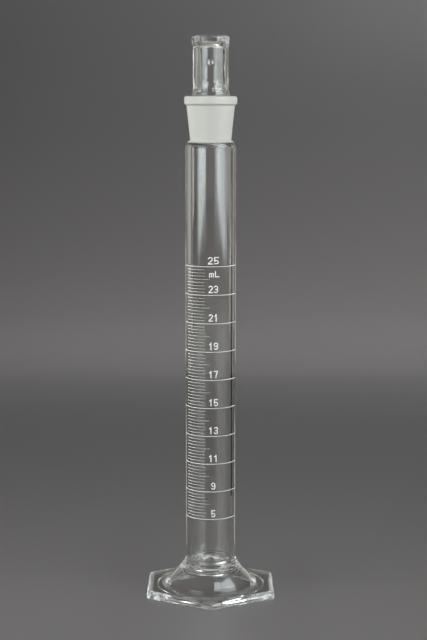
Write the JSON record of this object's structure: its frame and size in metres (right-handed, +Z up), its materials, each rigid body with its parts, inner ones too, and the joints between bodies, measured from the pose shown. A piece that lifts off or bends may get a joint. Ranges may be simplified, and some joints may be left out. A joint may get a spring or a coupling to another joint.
{
  "type": "graduated mixing cylinder",
  "caption": "Slim glass measuring cylinder with a hexagonal foot, white enamel scale, ground neck and hollow ground stopper that lifts out.",
  "frame": {"origin": "centre of the foot's underside, on the bench", "axes": "+Z up the tube's axis, -Y towards the front, where the numerals read, +X to the reader's right"},
  "size_m": [0.0494, 0.056, 0.214],
  "materials": {
    "clear_glass": "clear polished borosilicate glass",
    "ground_glass": "fine ground glass, frosted",
    "white_enamel": "white fired enamel, slightly raised"
  },
  "bodies": {
    "cylinder": {"foot": "clear_glass", "foot_seal": "clear_glass", "barrel": "clear_glass", "neck_socket": "ground_glass", "ring_marks": "white_enamel", "long_ticks": "white_enamel", "short_ticks": "white_enamel", "numeral_25": "white_enamel", "numeral_23": "white_enamel", "numeral_21": "white_enamel", "numeral_19": "white_enamel", "numeral_17": "white_enamel", "numeral_15": "white_enamel", "numeral_13": "white_enamel", "numeral_11": "white_enamel", "numeral_9": "white_enamel", "numeral_5": "white_enamel", "unit_mark": "white_enamel"},
    "stopper": {"stopper_plug": "ground_glass", "stopper_head": "clear_glass"}
  },
  "joints": [
    {"name": "stopper_lift", "type": "slide", "parent": "cylinder", "child": "stopper", "axis": [0, 0, 1], "range_m": [0, 0.06]}
  ]
}
